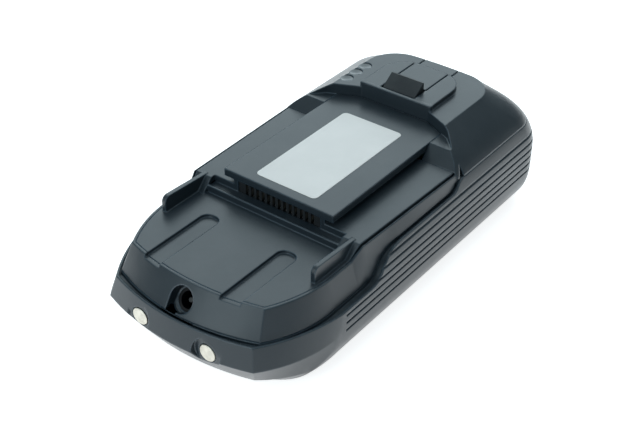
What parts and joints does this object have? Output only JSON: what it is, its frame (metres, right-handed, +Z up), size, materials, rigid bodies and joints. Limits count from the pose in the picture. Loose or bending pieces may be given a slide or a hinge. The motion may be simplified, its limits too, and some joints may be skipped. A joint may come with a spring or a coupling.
{
  "type": "vacuum cleaner battery pack",
  "caption": "Slide-in rechargeable battery pack with bowed nose, grooved tub, rail plate, comb connector, jack hole, dock contacts and a sprung release latch.",
  "frame": {"origin": "centre of the footprint on the surface that the pack rests on", "axes": "+Z up, nose with the jack and dock contacts towards -Y, release latch towards +Y, +X to the right seen from the nose"},
  "size_m": [0.0888, 0.1809, 0.0557],
  "materials": {
    "housing": "satin",
    "hook": "matt textured",
    "inner_plastic": "matt",
    "steel": "bright",
    "light_pipe": "smoked clear",
    "circuit_board": "satin",
    "wire_black": "satin",
    "wire_red": "satin",
    "component_black": "matt",
    "connector_black": "matt",
    "brass": "plated",
    "contact_silver": "satin nickel",
    "cell_can": "shrink wrap",
    "nickel": "bright",
    "insulation": "matt",
    "foam": "matt",
    "label_paper": "satin"
  },
  "bodies": {
    "pack": {"lower_tub": "housing", "upper_housing": "housing", "interface_deck": "housing", "latch_bracket": "inner_plastic", "latch_pivot_pin": "steel", "latch_spring": "steel", "led_light_guide": "light_pipe", "indicator_board": "circuit_board", "indicator_leads": "wire_black", "control_board": "circuit_board", "board_components": "component_black", "connector_housing": "connector_black", "connector_contacts": "brass", "jack_socket": "connector_black", "jack_pin": "steel", "dock_contact_left": "contact_silver", "dock_contact_right": "contact_silver", "dock_contact_tags": "brass", "cell_1": "cell_can", "cell_2": "cell_can", "cell_3": "cell_can", "cell_4": "cell_can", "cell_5": "cell_can", "cell_6": "cell_can", "cell_7": "cell_can", "cell_holder_left": "inner_plastic", "cell_holder_right": "inner_plastic", "nickel_strips_left": "nickel", "nickel_strips_right": "nickel", "insulation_sheet_left": "insulation", "insulation_sheet_right": "insulation", "foam_pads": "foam", "thermistor": "component_black", "power_lead_negative": "wire_black", "power_lead_positive": "wire_red", "dock_leads": "wire_black", "jack_leads": "wire_black", "casing_screws": "steel", "board_screws": "steel", "label": "label_paper"},
    "latch": {"release_lever": "housing", "latch_hook": "hook"}
  },
  "joints": [
    {"name": "latch_press", "type": "hinge", "parent": "pack", "child": "latch", "pos_m": [0, 0.076, 0.0446], "axis": [1, 0, 0], "range_deg": [0, 6.2], "stiffness_Nm_per_rad": 0.45, "springref_deg": -3.44, "deforming": ["latch_spring"]}
  ]
}
